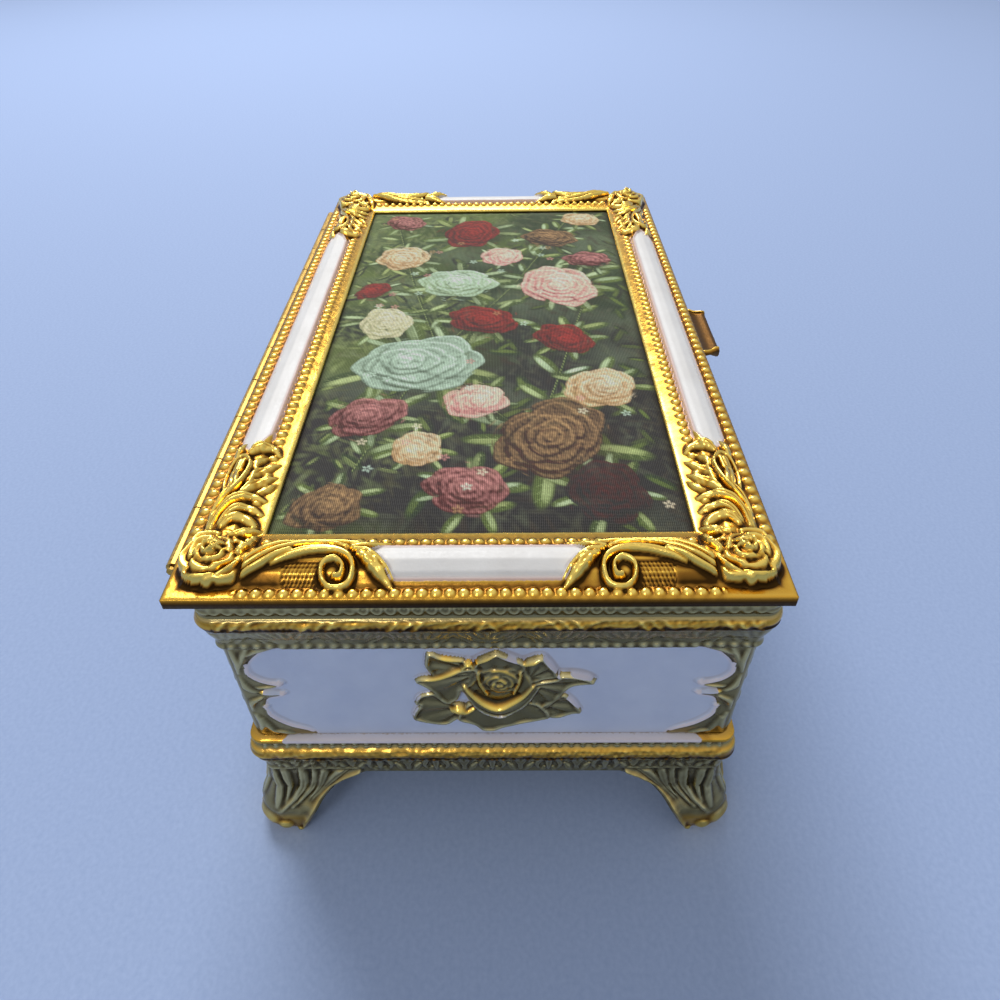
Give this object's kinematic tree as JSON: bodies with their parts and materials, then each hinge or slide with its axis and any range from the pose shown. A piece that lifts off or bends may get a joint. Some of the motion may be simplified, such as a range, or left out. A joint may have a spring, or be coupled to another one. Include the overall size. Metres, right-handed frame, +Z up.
{
  "type": "musical jewel box",
  "caption": "Gilt cast-metal jewel box on bracket feet, with a framed fabric picture in a hinged lid, a velvet tray and a wind-up comb movement that the lid stops.",
  "frame": {"origin": "bottom centre of the whole box, on the plane of the foot soles", "axes": "+X along the length of the box, to the right of someone facing the clasp; +Y from the clasp towards the hinge; +Z up"},
  "size_m": [0.1926, 0.1178, 0.0893],
  "materials": {
    "case_metal": "cast white metal, gold plated, with white enamel panels",
    "lid_metal": "cast white metal, gold plated, with white enamel panels",
    "bottom_sheet": "gold-lacquered sheet",
    "screw_steel": "turned and bright plated",
    "tray_flock": "moulded tray with a velvet flock",
    "velvet": "cotton velvet over foam",
    "picture_cloth": "printed plain-weave cloth",
    "board": "grey board",
    "lining_satin": "satin over wadding",
    "hinge_brass": "drawn and lacquered",
    "movement_cast": "fine cast, lightly tumbled",
    "movement_steel": "ground",
    "movement_brass": "machined"
  },
  "bodies": {
    "case": {"body_shell": "case_metal", "base_frame": "case_metal", "bottom_cover": "bottom_sheet", "cover_screw_1": "screw_steel", "cover_screw_2": "screw_steel", "cover_screw_3": "screw_steel", "cover_screw_4": "screw_steel", "jewel_tray": "tray_flock", "ring_cushion": "velvet", "hinge_body_leaf": "hinge_brass", "hinge_pin": "screw_steel", "hinge_body_screw_1": "hinge_brass", "hinge_body_screw_2": "hinge_brass", "hinge_body_screw_3": "hinge_brass", "bedplate": "movement_cast", "spring_housing": "movement_cast", "mainspring": "movement_steel", "cylinder_bracket": "movement_cast", "comb": "movement_steel", "comb_screw_1": "screw_steel", "comb_screw_2": "screw_steel", "governor_frame": "movement_cast", "bracket_screw_1": "screw_steel", "bracket_screw_2": "screw_steel", "movement_screw_1": "screw_steel", "movement_screw_2": "screw_steel", "movement_screw_3": "screw_steel", "stop_spring": "movement_steel"},
    "lid": {"lid_frame": "lid_metal", "picture_fabric": "picture_cloth", "picture_board": "board", "lid_lining": "lining_satin", "hinge_lid_leaf": "hinge_brass", "hinge_lid_screw_1": "hinge_brass", "hinge_lid_screw_2": "hinge_brass", "hinge_lid_screw_3": "hinge_brass", "lid_clasp": "lid_metal", "clasp_rivet_1": "hinge_brass", "clasp_rivet_2": "hinge_brass"},
    "winding": {"spring_arbor": "movement_steel", "drive_gear": "movement_brass", "winding_key": "movement_brass"},
    "cylinder": {"pinned_cylinder": "movement_brass", "cylinder_shaft": "movement_steel", "cylinder_wheel": "movement_brass"},
    "governor": {"governor_shaft": "movement_steel", "worm_wheel": "movement_brass"},
    "fly": {"worm": "movement_steel", "fan": "movement_brass"},
    "stop": {"stop_rod": "movement_steel"}
  },
  "joints": [
    {"name": "lid_hinge", "type": "hinge", "parent": "case", "child": "lid", "pos_m": [0, 0.0579, 0.0814], "axis": [-1, 0, 0], "range_deg": [0, 100]},
    {"name": "arbor_spin", "type": "hinge", "parent": "case", "child": "winding", "pos_m": [0.012, 0.0196, 0.02405], "axis": [0, 0, 1], "continuous": true},
    {"name": "cylinder_spin", "type": "hinge", "parent": "case", "child": "cylinder", "pos_m": [0.037, 0.0196, 0.03709], "axis": [1, 0, 0], "continuous": true},
    {"name": "governor_spin", "type": "hinge", "parent": "case", "child": "governor", "pos_m": [0.052, 0.02902, 0.03709], "axis": [1, 0, 0], "continuous": true},
    {"name": "fan_spin", "type": "hinge", "parent": "case", "child": "fly", "pos_m": [0.0533, 0.03401, 0.03], "axis": [0, 0, 1], "continuous": true},
    {"name": "stop_slide", "type": "slide", "parent": "case", "child": "stop", "axis": [0, 0, 1], "range_m": [0, 0.0035], "deforming": ["stop_spring"]}
  ],
  "couplings": [
    {"joint": "cylinder_spin", "follows": "arbor_spin", "ratio": 3},
    {"joint": "governor_spin", "follows": "arbor_spin", "ratio": -9},
    {"joint": "fan_spin", "follows": "arbor_spin", "ratio": 108},
    {"joint": "stop_slide", "follows": "lid_hinge", "m_per_rad": 0.002005}
  ]
}
